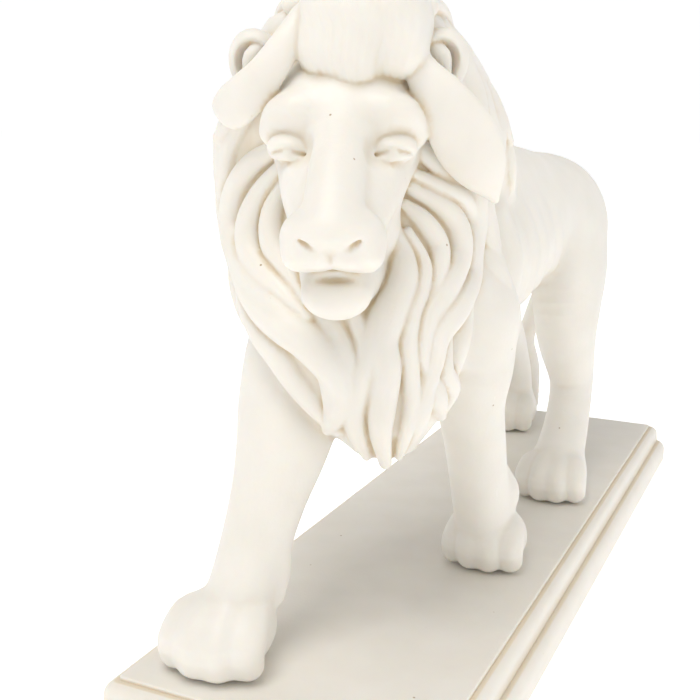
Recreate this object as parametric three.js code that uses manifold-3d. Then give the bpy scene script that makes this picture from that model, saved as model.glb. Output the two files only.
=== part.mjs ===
// A cast lion striding along a moulded rectangular plinth: two castings, glued together at the four paws.
// Millimetres, +Z up. The lion faces -Y and its left side is +X.
// The origin is the middle of the plinth's underside.
import * as THREE from "three";
import { LoftGeometry } from "three/addons/geometries/LoftGeometry.js";
import { SimplifyModifier } from "three/addons/modifiers/SimplifyModifier.js";
import { mergeVertices } from "three/addons/utils/BufferGeometryUtils.js";
import Module from "manifold-3d";

// ---- Plinth ----
const TOP_WIDTH = 100; // flat top, across the lion
const TOP_LENGTH = 330; // flat top, along the lion
const PLINTH_HEIGHT = 20;
const FOOT_OUTSET = 8; // how far the foot of the moulding stands out past the flat top
const STEP_OUTSET = 4.2; // the shoulder between the two rounded bands
const STEP_HEIGHT = 10.5;
const LIP_DROP = 1.2; // the small riser under the flat top
const LIP_OUTSET = 0.7;
const BAND_HEIGHT = 4.2; // the upper band; the lower one is half the step's height
const BAND_INSET = 0.2; // the upper band springs from just inside the step
const BAND_STEPS = 4; // facets round each band
const CORNER_RADIUS = 1.2;
const CORNER_STEPS = 2;
const GLUE_GAP = 0.3; // between the paws and the plinth

// ---- Lion ----
// Heights are above the plinth's top, and y runs from the plinth's middle.
const PAW_WIDTH = 31;
const PAW_LENGTH = 36;
const PAW_HEIGHT = 20;
const TOES = 4;
const EYES = [3.5, -120, 157]; // the point between the eyes, where the head's own axes start
const HEAD_YAW = 21; // degrees that the head is turned to the lion's left
const EYE_SPACING = 30.6;
const EAR = [27.5, 24, 24]; // from the point between the eyes
const EAR_SIZE = [9, 7, 10.5];
const EAR_BOWL = [6.3, 7, 7.6];
const CREAM = 0xf3ece2;
const MOST_VERTICES = 4700; // of one faceted casting

const X_AXIS = new THREE.Vector3(1, 0, 0);
const RIGHT = -1;
const LEFT = 1;

const wasm = await Module();
wasm.setup();

// A closed geometry as a solid that can be joined and cut.
function solid(geometry) {
  const bare = new THREE.BufferGeometry();
  bare.setAttribute("position", geometry.getAttribute("position"));
  bare.setIndex(geometry.getIndex());
  const merged = mergeVertices(bare, 1e-4);
  return new wasm.Manifold(
    new wasm.Mesh({
      numProp: 3,
      vertProperties: merged.attributes.position.array,
      triVerts: new Uint32Array(merged.index.array),
    }),
  );
}

function join(solids) {
  return solids.reduce((whole, next) => whole.add(next));
}

// The joined solid as a faceted geometry, thinned to about most vertices where it has more.
async function geometryOf(whole, most) {
  const mesh = whole.getMesh();
  let geometry = new THREE.BufferGeometry();
  geometry.setAttribute("position", new THREE.BufferAttribute(mesh.vertProperties, 3));
  geometry.setIndex(new THREE.BufferAttribute(mesh.triVerts, 1));
  geometry = mergeVertices(geometry, 1e-3);
  const spare = geometry.getAttribute("position").count - most;
  if (spare > 0) geometry = await new SimplifyModifier().modify(geometry, spare);
  const faceted = geometry.toNonIndexed();
  faceted.computeVertexNormals();
  return faceted;
}

// An ellipsoid with half-axes radii, turned by degrees about x, then y, then z, and put at centre.
function ball(centre, radii, { turn = [0, 0, 0], around = 12, rings = 8 } = {}) {
  const angles = turn.map(THREE.MathUtils.degToRad);
  return new THREE.SphereGeometry(1, around, rings)
    .rotateX(Math.PI / 2)
    .scale(...radii)
    .rotateX(angles[0])
    .rotateY(angles[1])
    .rotateZ(angles[2])
    .translate(...centre);
}

const DOME_ANGLE = 0.3 * Math.PI; // where the one facet ring of a rounded end sits

// A round-ended solid skinned over elliptical stations [x, y, z, halfWidth, halfDepth].
// A section's width lies along across, and its depth is square to the width and to the path.
function limb(stations, { around = 10, steps = 2, across = X_AXIS } = {}) {
  const path = new THREE.CatmullRomCurve3(stations.map(([x, y, z]) => new THREE.Vector3(x, y, z)));
  const sizes = new THREE.CatmullRomCurve3(stations.map((row) => new THREE.Vector3(row[3], row[4], 0)));
  const count = (stations.length - 1) * steps;
  const ring = (t, slide, shrink) => {
    const tangent = path.getTangent(t);
    const width = across.clone().addScaledVector(tangent, -across.dot(tangent)).normalize();
    const depth = new THREE.Vector3().crossVectors(tangent, width);
    const size = sizes.getPoint(t).multiplyScalar(shrink);
    const centre = path.getPoint(t).addScaledVector(tangent, slide);
    return Array.from({ length: around }, (_, i) => {
      const angle = (2 * Math.PI * i) / around;
      return centre
        .clone()
        .addScaledVector(width, size.x * Math.cos(angle))
        .addScaledVector(depth, size.y * Math.sin(angle));
    });
  };
  const reach = (t) => Math.min(sizes.getPoint(t).x, sizes.getPoint(t).y);
  const domed = (t, way) => ring(t, way * reach(t) * Math.sin(DOME_ANGLE), Math.cos(DOME_ANGLE));
  const sections = [domed(0, -1)];
  for (let i = 0; i <= count; i++) sections.push(ring(i / count, 0, 1));
  sections.push(domed(1, 1));
  return new LoftGeometry(sections, { capStart: true, capEnd: true });
}

// The value at height z in rows [z, ...values] that run downwards, taken straight between rows.
function slice(rows, z) {
  const at = THREE.MathUtils.clamp(z, rows[rows.length - 1][0], rows[0][0]);
  let i = 0;
  while (i < rows.length - 2 && at < rows[i + 1][0]) i++;
  const share = (rows[i][0] - at) / (rows[i][0] - rows[i + 1][0]);
  return rows[i].map((value, k) => THREE.MathUtils.lerp(value, rows[i + 1][k], share));
}

// ---- Plinth: rectangular rings of the moulding's profile, from the foot up to the flat top ----
function plinthProfile() {
  const quarter = (outer, inner, low, high) =>
    Array.from({ length: BAND_STEPS + 1 }, (_, i) => {
      const angle = (Math.PI / 2) * (i / BAND_STEPS);
      return [inner + (outer - inner) * Math.cos(angle), low + (high - low) * Math.sin(angle)];
    });
  const lipHeight = PLINTH_HEIGHT - LIP_DROP;
  return [
    [FOOT_OUTSET, 0],
    ...quarter(FOOT_OUTSET, STEP_OUTSET, STEP_HEIGHT * 0.5, STEP_HEIGHT),
    ...quarter(STEP_OUTSET - BAND_INSET, LIP_OUTSET, lipHeight - BAND_HEIGHT, lipHeight),
    [0, lipHeight],
    [0, PLINTH_HEIGHT],
  ];
}

function plinthRing(outset, height) {
  const halfWidth = TOP_WIDTH / 2 + outset - CORNER_RADIUS;
  const halfLength = TOP_LENGTH / 2 + outset - CORNER_RADIUS;
  const points = [];
  for (let quarter = 0; quarter < 4; quarter++)
    for (let i = 0; i <= CORNER_STEPS; i++) {
      const angle = (Math.PI / 2) * (quarter + i / CORNER_STEPS);
      const sideways = quarter === 0 || quarter === 3 ? halfWidth : -halfWidth;
      const along = quarter < 2 ? halfLength : -halfLength;
      points.push(
        new THREE.Vector3(
          sideways + CORNER_RADIUS * Math.cos(angle),
          along + CORNER_RADIUS * Math.sin(angle),
          height,
        ),
      );
    }
  return points;
}

function plinth() {
  const rings = plinthProfile().map(([outset, height]) => plinthRing(outset, height));
  return solid(new LoftGeometry(rings, { capStart: true, capEnd: true }));
}

// ---- Trunk: chest, ribs, loin and rump, sections [x, y, z, halfWidth, halfHeight] from front to back ----
function trunk() {
  const sections = [
    [0, -98, 97, 24, 30],
    [0, -74, 101, 29, 39],
    [0, -45, 107, 30, 43],
    [1, -15, 113, 29, 38],
    [3, 25, 118, 26, 33],
    [5, 60, 120, 25, 29],
    [6, 95, 115, 27, 31],
    [6, 125, 109, 24, 28],
    [6, 140, 106, 15, 19],
  ];
  return solid(limb(sections, { around: 16, steps: 2 }));
}

// ---- Legs: stations [x, y, z, halfWidth, halfDepth] from the body down to the wrist or hock, then the paw
function foreLegs() {
  const forward = [
    [-15, -70, 122, 15, 19],
    [-20.5, -79, 106, 19, 20],
    [-23.4, -92, 89, 18.6, 18.6],
    [-23, -103, 74, 17.2, 17],
    [-21, -113, 62, 14.8, 15],
    [-20.7, -123, 48, 12, 12.4],
    [-22, -132.5, 30, 10.8, 11.8],
    [-24.5, -139, 14, 11, 12.5],
  ];
  const back = [
    [16, -62, 120, 13, 18],
    [22, -59, 103, 15.4, 17],
    [23, -56, 84, 14.6, 16],
    [22, -53, 66, 12, 13],
    [22.5, -48, 48, 11.2, 11.6],
    [23, -43, 30, 11, 12],
    [24, -38, 14, 11.5, 13],
  ];
  return [forward, back].map((leg) => solid(limb(leg)));
}

function hindLegs() {
  const forward = [
    [14, 104, 112, 18, 29],
    [23, 84, 100, 16.5, 27],
    [25.5, 66, 82, 15, 20],
    [26.4, 67, 64, 12.6, 15],
    [27.6, 74, 44, 9.9, 12.5],
    [29, 64, 26, 10.2, 11],
    [29, 50, 13, 11.5, 12],
  ];
  const back = [
    [-4, 108, 112, 18, 28],
    [-13, 100, 98, 16.5, 25],
    [-19, 96, 80, 14, 19],
    [-19, 108, 62, 11, 14.5],
    [-19, 126, 45, 9.6, 13],
    [-19, 136, 28, 10, 10.5],
    [-19, 136, 13, 11, 11.5],
  ];
  return [forward, back].map((leg) => solid(limb(leg)));
}

// A paw with its toes fanned out in front.
// Its middle is at x, y and its front is turned by degrees to the lion's left.
function paw(x, y, turn, size = 1) {
  const lift = PAW_HEIGHT * 0.42; // of the middle of every piece
  const pieces = [ball([0, 3, lift], [PAW_WIDTH * 0.45, PAW_LENGTH * 0.44, PAW_HEIGHT * 0.55])];
  for (let i = 0; i < TOES; i++) {
    const spread = i / (TOES - 1) - 0.5; // -0.5 on the lion's right to 0.5 on its left
    const forward = PAW_LENGTH * (0.27 - 0.42 * spread * spread);
    pieces.push(
      ball(
        [PAW_WIDTH * 0.75 * spread, -forward, lift],
        [PAW_WIDTH * 0.135, PAW_LENGTH * 0.24, PAW_HEIGHT * 0.5],
        { turn: [-14, 0, 24 * spread], around: 8, rings: 6 },
      ),
    );
  }
  return pieces.map((piece) =>
    solid(piece.scale(size, size, size).rotateZ(THREE.MathUtils.degToRad(turn)).translate(x, y, 0)),
  );
}

// ---- Tail: from the rump down behind the right hind leg, where it joins the hock, to the tuft ----
function tail() {
  const stem = [
    [5, 143, 121, 6.5, 6.5],
    [1, 154, 108, 5.2, 5.2],
    [-6, 159, 86, 4.4, 4.4],
    [-13, 155, 62, 4.4, 4.4],
    [-17, 148, 42, 5, 5],
  ];
  const tuft = [
    [-17, 148, 44, 5, 5],
    [-17, 152, 30, 8, 7.5],
    [-16, 156, 17, 7, 6.5],
    [-13, 158, 7, 3.5, 3.5],
  ];
  return [stem, tuft].map((piece) => solid(limb(piece, { around: 10 })));
}

// ---- Head: pieces in the head's own axes, x to its left, -y out of the face, from between the eyes ----
function inHead(geometry) {
  return geometry.rotateZ(THREE.MathUtils.degToRad(HEAD_YAW)).translate(...EYES);
}

function face() {
  const pieces = [
    ball([0, 26, 6], [25, 26, 26], { around: 16, rings: 10 }),
    ball([0, 11, 9], [21, 14, 14]),
    limb([
      [0, 16, -6, 23, 19],
      [0, 2, -14, 19, 16],
      [0, -14, -21, 14, 11],
    ]),
    limb([
      [0, 8, 12, 10, 8],
      [0, -5, 0, 8.4, 8],
      [0, -17, -11, 8.6, 8.4],
      [0, -25, -19, 9, 7.5],
    ]),
    ball([0, -30.5, -22], [8.2, 4.6, 5]),
    ball([0, 10, -24], [20, 17, 17]),
    limb([
      [0, 10, -34, 15, 13],
      [0, -6, -37, 12, 9.5],
      [0, -16, -39.4, 10, 7],
    ]),
  ];
  for (const side of [RIGHT, LEFT]) {
    pieces.push(ball([side * 14, 7, 9], [9.5, 8, 5.2], { turn: [0, side * 12, side * 14] }));
    pieces.push(ball([side * (EYE_SPACING / 2), 1, 0], [5.8, 4.4, 3.2], { turn: [0, 0, side * 12] }));
    pieces.push(ball([side * 7, -21, -24], [8, 12, 8.8], { turn: [-12, 0, side * 8] }));
  }
  const mouth = ball([0, -22.4, -34.2], [9.3, 8.4, 2.3]);
  return join(pieces.map((piece) => solid(inHead(piece)))).subtract(solid(inHead(mouth)));
}

function ears() {
  const made = [];
  for (const side of [RIGHT, LEFT]) {
    const [x, y, z] = [side * EAR[0], EAR[1], EAR[2]];
    const turn = [0, side * 20, side * 16];
    const cup = solid(inHead(ball([x, y, z], EAR_SIZE, { turn })));
    const bowl = solid(inHead(ball([x + side * 0.8, y - 7, z], EAR_BOWL, { turn })));
    const tuft = solid(inHead(ball([x, y - 2, z + 1], [4, 4, 5])));
    made.push(cup.subtract(bowl), tuft);
  }
  return made;
}

// The rolled forelock over the brow, combed back in flutes,
// and the strap of hair that sweeps down each temple.
function forelock() {
  const [middle, back, height] = [5.5, 18, 33];
  const [halfWidth, halfDepth, halfHeight] = [19.5, 18, 17.5];
  const [flutes, fluteDepth] = [5, 0.035];
  const [slices, around] = [20, 16];
  const end = 0.985; // the last slice, as a share of the half width
  const squareness = 2.6;
  const sections = [];
  for (let i = 0; i <= slices; i++) {
    const along = end * ((2 * i) / slices - 1);
    const round = Math.pow(1 - Math.pow(Math.abs(along), squareness), 1 / squareness);
    const reach = round * (1 + fluteDepth * Math.cos(flutes * Math.PI * along));
    sections.push(
      Array.from({ length: around }, (_, k) => {
        const angle = (2 * Math.PI * k) / around;
        return new THREE.Vector3(
          middle + halfWidth * along,
          back + halfDepth * reach * Math.cos(angle),
          height + halfHeight * reach * Math.sin(angle),
        );
      }),
    );
  }
  const pieces = [new LoftGeometry(sections, { capStart: true, capEnd: true })];
  for (const side of [RIGHT, LEFT])
    pieces.push(
      limb([
        [side * 15, 27, 42, 7, 8],
        [side * 22, 20, 28, 6, 8],
        [side * 28, 19, 14, 6, 8],
        [side * 36, 24, 2, 5, 6],
      ]),
    );
  return pieces.map((piece) => solid(inHead(piece)));
}

// ---- Mane: a ruff of horizontal slices from the crown down to the beard, turned with the head ----
// Each row is [z, x, y, halfWidth, halfDepth, degrees of turn].
const RUFF = [
  [206, -8, -72, 12, 14, 21],
  [196, -9, -73, 28, 23, 21],
  [180, -11, -75, 40, 29, 21],
  [160, -11.5, -77, 44.5, 33, 21],
  [140, -11.5, -78, 45.5, 36, 21],
  [120, -9, -80, 43, 40, 20],
  [100, -3, -86, 36, 40, 16],
  [82, 3, -93, 28, 32, 12],
  [68, 8, -99, 17, 20, 8],
  [58, 12, -102, 6, 8, 4],
];
const LOCKS = 22; // carved locks round the ruff
const LOCK_DEPTH = 4;
const LOCK_SWEEP = 30; // degrees that a lock swings back from the crown to the beard
const LOCK_WAVE = 9; // degrees of its S
const LOCK_SINK = 0.6; // share of the depth that lies under the ruff's own slices
const FACETS_PER_LOCK = 4;

// The point of the ruff at a bearing, in degrees round from the front towards the lion's left, and a height.
function onRuff(bearing, z, lift = 0) {
  const [, x, y, halfWidth, halfDepth, turn] = slice(RUFF, z);
  const angle = THREE.MathUtils.degToRad(bearing);
  const yaw = THREE.MathUtils.degToRad(turn);
  const across = (halfWidth + lift) * Math.sin(angle);
  const ahead = (halfDepth + lift) * Math.cos(angle);
  return [
    x + across * Math.cos(yaw) + ahead * Math.sin(yaw),
    y + across * Math.sin(yaw) - ahead * Math.cos(yaw),
    z,
  ];
}

// How far a lock stands out: its crest and hollow follow an S that swings back as it drops,
// alike on both sides.
function lockLift(bearing, z) {
  const crown = RUFF[0][0];
  const foot = RUFF[RUFF.length - 1][0];
  const drop = (crown - z) / (crown - foot);
  const side = bearing > 180 ? bearing - 360 : bearing;
  const swing = LOCK_SWEEP * drop + LOCK_WAVE * Math.sin(3 * Math.PI * drop);
  const phase = (THREE.MathUtils.degToRad(side - Math.sign(side) * swing) * LOCKS) / 2;
  const fade = Math.sin(Math.PI * Math.min(1, 0.12 + drop));
  return LOCK_DEPTH * (Math.abs(Math.cos(phase)) - LOCK_SINK) * fade;
}

function ruff() {
  const around = LOCKS * FACETS_PER_LOCK;
  const levels = RUFF.map(([z]) => z).reverse();
  const heights = levels.flatMap((z, i) => (i + 1 < levels.length ? [z, (z + levels[i + 1]) / 2] : [z]));
  const rings = heights.map((z) =>
    Array.from({ length: around }, (_, i) => {
      const bearing = (360 * i) / around;
      return new THREE.Vector3(...onRuff(bearing, z, lockLift(bearing, z)));
    }),
  );
  return solid(new LoftGeometry(rings, { capStart: true, capEnd: true }));
}

// A free lock lying over the ruff: it leaves at a bearing and height,
// runs down in an S and ends in a raised tip.
function lock(bearing, top, drop, sweep, wave, width) {
  const stations = [0, 0.33, 0.66, 1].map((t) => {
    const swell = Math.sin(Math.PI * (0.2 + 0.65 * t));
    const at = onRuff(bearing + sweep * t + wave * Math.sin(2 * Math.PI * t), top - drop * t, 2 * t);
    return [...at, width * (0.3 + 0.7 * swell), 2.5 + 2.5 * swell];
  });
  const middle = THREE.MathUtils.degToRad(bearing + sweep / 2 + HEAD_YAW);
  const across = new THREE.Vector3(Math.cos(middle), Math.sin(middle), 0);
  return solid(limb(stations, { around: 8, steps: 1, across }));
}

function locks() {
  const made = [];
  for (const side of [RIGHT, LEFT]) {
    made.push(lock(side * 62, 158, 44, side * 4, side * 8, 7.5));
    made.push(lock(side * 48, 128, 44, side * -20, side * 8, 7));
    made.push(lock(side * 20, 98, 30, side * -4, side * 4, 5.5));
  }
  made.push(lock(0, 102, 42, 4, 3, 5.5));
  return made;
}

// The mane's tail end, lying back over the withers.
function mantle() {
  const rows = [
    [-4, -56, 172, 30, 20],
    [-1, -44, 155, 31, 18],
    [1, -30, 143, 27, 14],
    [1, -16, 138, 18, 9],
  ];
  return solid(limb(rows, { around: 14 }));
}

function lion() {
  const whole = join([
    trunk(),
    ...foreLegs(),
    ...hindLegs(),
    ...paw(-26, -142.5, 7, 1.08),
    ...paw(25, -37, 0),
    ...paw(29.5, 40, 3),
    ...paw(-19, 131, -3),
    ...tail(),
    face(),
    ...ears(),
    ...forelock(),
    ruff(),
    ...locks(),
    mantle(),
  ]);
  const floor = new THREE.BoxGeometry(2 * TOP_WIDTH, 2 * TOP_LENGTH, 60).translate(0, 0, -30);
  return whole.subtract(solid(floor));
}

async function part(name, whole, roughness) {
  const material = new THREE.MeshStandardMaterial({ color: CREAM, roughness, metalness: 0 });
  const mesh = new THREE.Mesh(await geometryOf(whole, MOST_VERTICES), material);
  mesh.name = name;
  return mesh;
}

const group = new THREE.Group();
const standing = new THREE.Group();
standing.position.set(0, 0, PLINTH_HEIGHT + GLUE_GAP);
standing.add(await part("lion", lion(), 0.5));
group.add(await part("plinth", plinth(), 0.55), standing);

export default group;
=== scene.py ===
import bpy
import math
import numpy as np
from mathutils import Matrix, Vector


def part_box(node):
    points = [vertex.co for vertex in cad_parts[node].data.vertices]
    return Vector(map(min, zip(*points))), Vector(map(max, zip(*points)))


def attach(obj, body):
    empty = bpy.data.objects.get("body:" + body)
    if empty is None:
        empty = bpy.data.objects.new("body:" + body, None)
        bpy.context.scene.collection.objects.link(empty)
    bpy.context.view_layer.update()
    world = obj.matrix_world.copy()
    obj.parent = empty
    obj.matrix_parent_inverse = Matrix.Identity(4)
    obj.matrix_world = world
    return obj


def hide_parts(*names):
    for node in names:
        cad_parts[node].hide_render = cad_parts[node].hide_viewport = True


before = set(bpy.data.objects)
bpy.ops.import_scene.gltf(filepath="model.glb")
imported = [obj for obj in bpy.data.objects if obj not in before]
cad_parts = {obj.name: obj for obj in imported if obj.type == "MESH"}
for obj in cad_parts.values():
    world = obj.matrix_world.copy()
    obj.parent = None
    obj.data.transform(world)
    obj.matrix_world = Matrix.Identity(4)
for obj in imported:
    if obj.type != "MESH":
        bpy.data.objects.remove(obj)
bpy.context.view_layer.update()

# ---- Setting ----
# The lion stands on a pale sweep of paper in a white room with two soft lamps. It is seen from just in
# front of its left shoulder, from a little above its head.
MM = 0.001
TOP_LENGTH = 0.330
PLINTH_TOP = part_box("plinth")[1][2]
STAND_OFF = Vector((0.136, -0.224, 0.169))
LOOK_AROUND = 25.7
LOOK_DOWN = 13.35
LENS = 53.07

camera = bpy.data.objects.new("camera", bpy.data.cameras.new("camera"))
bpy.context.collection.objects.link(camera)
camera.data.lens = LENS
camera.data.sensor_width = 36.0
camera.data.clip_start = 0.01
camera.location = STAND_OFF + Vector((0, -TOP_LENGTH / 2, PLINTH_TOP))
camera.rotation_euler = (math.radians(90 - LOOK_DOWN), 0, math.radians(LOOK_AROUND))
bpy.context.scene.camera = camera
bpy.context.scene.view_settings.view_transform = "Standard"

# The paper glows a little, as if lit from under.
SWEEP_HALF = 5.0
PAPER_GLOW = 0.46
sweep_mesh = bpy.data.meshes.new("paper_sweep")
sweep_corners = [(SWEEP_HALF * x, SWEEP_HALF * y, 0) for x, y in ((-1, -1), (1, -1), (1, 1), (-1, 1))]
sweep_mesh.from_pydata(sweep_corners, [], [(0, 1, 2, 3)])
paper = bpy.data.objects.new("paper_sweep", sweep_mesh)
bpy.context.collection.objects.link(paper)
paper_finish = bpy.data.materials.new("white_paper")
paper_finish.use_nodes = True
paper_shader = paper_finish.node_tree.nodes["Principled BSDF"]
paper_shader.inputs["Base Color"].default_value = (0.96, 0.96, 0.965, 1)
paper_shader.inputs["Roughness"].default_value = 0.9
paper_shader.inputs["Emission Color"].default_value = (1, 1, 1, 1)
paper_shader.inputs["Emission Strength"].default_value = PAPER_GLOW
paper.data.materials.append(paper_finish)

# A white wall all round that dims towards the ceiling; heights are the sine of the angle above the floor.
WALL_TOP = 0.12
CEILING_START = 0.45
WALL_WHITE = (1, 1, 1, 1)
CEILING_GREY = (0.52, 0.52, 0.525, 1)
ROOM_LIGHT = 1.01
world = bpy.data.worlds.new("white_room")
world.use_nodes = True
room = world.node_tree
way = room.nodes.new("ShaderNodeTexCoord")
split = room.nodes.new("ShaderNodeSeparateXYZ")
wall = room.nodes.new("ShaderNodeValToRGB")
wall.color_ramp.elements[0].position = WALL_TOP
wall.color_ramp.elements[0].color = WALL_WHITE
wall.color_ramp.elements[1].position = CEILING_START
wall.color_ramp.elements[1].color = CEILING_GREY
room.links.new(way.outputs["Generated"], split.inputs["Vector"])
room.links.new(split.outputs["Z"], wall.inputs["Fac"])
room.links.new(wall.outputs["Color"], room.nodes["Background"].inputs["Color"])
room.nodes["Background"].inputs["Strength"].default_value = ROOM_LIGHT
bpy.context.scene.world = world

LAMP_WARMTH = (1.0, 0.985, 0.96)


def soft_lamp(name, place, aim, size, power):
    """A square lamp with its size in metres and its power in watts, turned towards aim."""
    lamp = bpy.data.lights.new(name, "AREA")
    lamp.size = size
    lamp.energy = power
    lamp.color = LAMP_WARMTH
    holder = bpy.data.objects.new(name, lamp)
    holder.location = place
    holder.rotation_euler = (Vector(aim) - Vector(place)).to_track_quat("-Z", "Y").to_euler()
    bpy.context.collection.objects.link(holder)


soft_lamp("key_lamp", (-0.1, -0.5, 1.2), (0, -0.03, 0.1), 0.6, 6.6)
soft_lamp("side_lamp", (0.9, -0.1, 0.4), (0, 0.05, 0.06), 0.7, 0.9)

# ---- Lion ----
# One casting of marble powder in resin, poured in a rubber mould taken from a modelled clay lion.
# It is worked here as the modeller worked it: masses of clay pressed together and cut back, then the locks
# of the mane laid on one by one.
LION_SLOT = "lion_stone"
LION_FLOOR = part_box("lion")[0][2]
LION_TRIANGLES = 198000


def spaced(start, *runs):
    """Grid lines from start through runs of (end, step)."""
    lines = [np.array([start])]
    for end, step in runs:
        count = int(round((end - lines[-1][-1]) / step))
        lines.append(np.linspace(lines[-1][-1], end, count + 1)[1:])
    return np.concatenate(lines).astype(np.float32)


# The distance held where no clay is near.
FAR_OFF = 40


class Clay:
    """A lump held as signed distances in millimetres, below zero inside, on a grid finer at the head."""

    def __init__(self, *axes):
        self.axes = axes
        self.field = np.full([len(axis) for axis in axes], FAR_OFF, np.float32)

    def window(self, low, high):
        """The part of the grid that holds a box, and its x, y and z lines."""
        spans = []
        for axis, least, most in zip(self.axes, low, high):
            first = max(0, int(np.searchsorted(axis, least)) - 1)
            spans.append(slice(first, max(first + 1, int(np.searchsorted(axis, most)) + 1)))
        x, y, z = (axis[span] for axis, span in zip(self.axes, spans))
        return tuple(spans), x[:, None, None], y[None, :, None], z[None, None, :]

    def press_on(self, shape, blend):
        """Adds a shape, smoothed into the clay over blend millimetres."""
        spans, distance = shape(self, blend)
        here = self.field[spans]
        share = np.clip(0.5 + 0.5 * (here - distance) / blend, 0, 1)
        self.field[spans] = here + (distance - here) * share - blend * share * (1 - share)

    def cut_away(self, shape, blend):
        """Takes a shape away, with its edge rounded over blend millimetres."""
        spans, distance = shape(self, blend)
        here = self.field[spans]
        share = np.clip(0.5 - 0.5 * (here + distance) / blend, 0, 1)
        self.field[spans] = here - (distance + here) * share + blend * share * (1 - share)

    def near(self, point):
        """The distance held at the grid point next to a point."""
        places = [np.searchsorted(axis, value) for axis, value in zip(self.axes, point)]
        return self.field[tuple(min(n - 1, int(place)) for n, place in zip(self.field.shape, places))]

    def as_shape(self, low, high):
        """The part of this lump in a box, to be pressed on another lump with the same grid."""

        def shape(clay, blend):
            spans = clay.window(low, high)[0]
            return spans, self.field[spans]

        return shape


def oval_distance(offsets, radii):
    """Close to the true distance from an ellipsoid, from offsets along its own axes."""
    scaled = [offset / radius for offset, radius in zip(offsets, radii)]
    far = np.sqrt(sum(s * s for s in scaled))
    slope = np.sqrt(sum((s / radius) ** 2 for s, radius in zip(scaled, radii))) + 1e-6
    return far * (far - 1) / slope


def turned(degrees):
    """Rows are the turned x, y and z axes, after turns about x, then y, then z."""
    a, b, c = (math.radians(value) for value in degrees)
    about_x = np.array([[1, 0, 0], [0, math.cos(a), -math.sin(a)], [0, math.sin(a), math.cos(a)]])
    about_y = np.array([[math.cos(b), 0, math.sin(b)], [0, 1, 0], [-math.sin(b), 0, math.cos(b)]])
    about_z = np.array([[math.cos(c), -math.sin(c), 0], [math.sin(c), math.cos(c), 0], [0, 0, 1]])
    return (about_z @ about_y @ about_x).T


def ball(centre, radii, turn=(0, 0, 0), seat=None):
    """An ellipsoid of clay; seat carries it from a part's own axes to the lion's."""
    axes = turned(turn)
    centre = np.array(centre, float)
    if seat is not None:
        centre = seat(centre)
        axes = axes @ seat.axes

    def shape(clay, blend):
        reach = np.sqrt(((axes * np.array(radii)[:, None]) ** 2).sum(0)) + 1.5 * blend + 1
        spans, x, y, z = clay.window(centre - reach, centre + reach)
        dx, dy, dz = x - centre[0], y - centre[1], z - centre[2]
        offsets = [dx * axis[0] + dy * axis[1] + dz * axis[2] for axis in axes.astype(np.float32)]
        return spans, oval_distance(offsets, radii)

    return shape


def eased(rows, step):
    """Rows joined by a smooth curve through all of them, with points about step millimetres apart."""
    rows = np.array(rows, float)
    padded = np.vstack([2 * rows[0] - rows[1], rows, 2 * rows[-1] - rows[-2]])
    out = []
    for i in range(1, len(padded) - 2):
        before, here, after, beyond = padded[i - 1 : i + 3]
        count = max(1, int(math.ceil(np.linalg.norm((after - here)[:3]) / step)))
        for t in np.arange(count) / count:
            slope = after - before
            curve = 2 * before - 5 * here + 4 * after - beyond
            turn = 3 * here - before - 3 * after + beyond
            out.append(0.5 * (2 * here + slope * t + curve * t * t + turn * t * t * t))
    out.append(rows[-1])
    return np.array(out)


def roll(rows, across=(1, 0, 0), step=4.0, seat=None):
    """A roll of clay along rows of x, y, z, half width, half depth; the width lies along across."""
    rows = np.array(rows, float)
    across = np.broadcast_to(np.array(across, float), (len(rows), 3)).copy()
    if seat is not None:
        rows[:, :3] = [seat(point) for point in rows[:, :3]]
        across = across @ seat.axes
    line = eased(np.hstack([rows, across]), step)

    def shape(clay, blend):
        pad = 1.5 * blend + 1
        size = line[:, 3:5].max(1)[:, None]
        spans, x, y, z = clay.window((line[:, :3] - size).min(0) - pad, (line[:, :3] + size).max(0) + pad)
        whole = np.full((x.size, y.size, z.size), FAR_OFF, np.float32)
        for a, b in zip(line[:-1], line[1:]):
            length = np.linalg.norm(b[:3] - a[:3])
            along = (b[:3] - a[:3]) / length
            wide = a[5:8] + b[5:8]
            wide = wide - along * (wide @ along)
            wide /= np.linalg.norm(wide)
            deep = np.cross(along, wide)
            reach = max(a[3], a[4], b[3], b[4]) + pad
            low = np.minimum(a[:3], b[:3]) - reach
            high = np.maximum(a[:3], b[:3]) + reach
            part = clay.window(low, high)[0]
            inner = tuple(
                slice(max(0, near.start - span.start), max(0, near.stop - span.start))
                for near, span in zip(part, spans)
            )
            ax, ay, az = (np.float32(v) for v in a[:3])
            dx, dy, dz = x[inner[0]] - ax, y[:, inner[1]] - ay, z[:, :, inner[2]] - az
            run, over, up = (
                dx * np.float32(axis[0]) + dy * np.float32(axis[1]) + dz * np.float32(axis[2])
                for axis in (along, wide, deep)
            )
            share = np.clip(run / np.float32(length), 0, 1)
            half_wide = np.float32(a[3]) + np.float32(b[3] - a[3]) * share
            half_deep = np.float32(a[4]) + np.float32(b[4] - a[4]) * share
            past = run - share * np.float32(length)
            end = np.minimum(half_wide, half_deep)
            found = oval_distance((over, up, past), (half_wide, half_deep, end))
            whole[inner] = np.minimum(whole[inner], found)
        return spans, whole

    return shape


class Seat:
    """Carries points from a part's own axes to the lion's: turned about z by degrees and put at a place."""

    def __init__(self, place, degrees):
        self.place = np.array(place, float)
        self.axes = turned((0, 0, degrees))

    def __call__(self, point):
        return np.array(point, float) @ self.axes + self.place


RIGHT, LEFT = -1, 1
head = Seat((3.5, -120, 157), 21)
clay = Clay(
    spaced(-60, (-28, 0.7), (36, 0.48), (60, 0.7)),
    spaced(-163, (-105, 0.5), (-60, 0.6), (-30, 0.8), (167, 1.05)),
    spaced(-1, (92, 0.85), (112, 0.6), (186, 0.5), (214, 0.7)),
)

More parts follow.
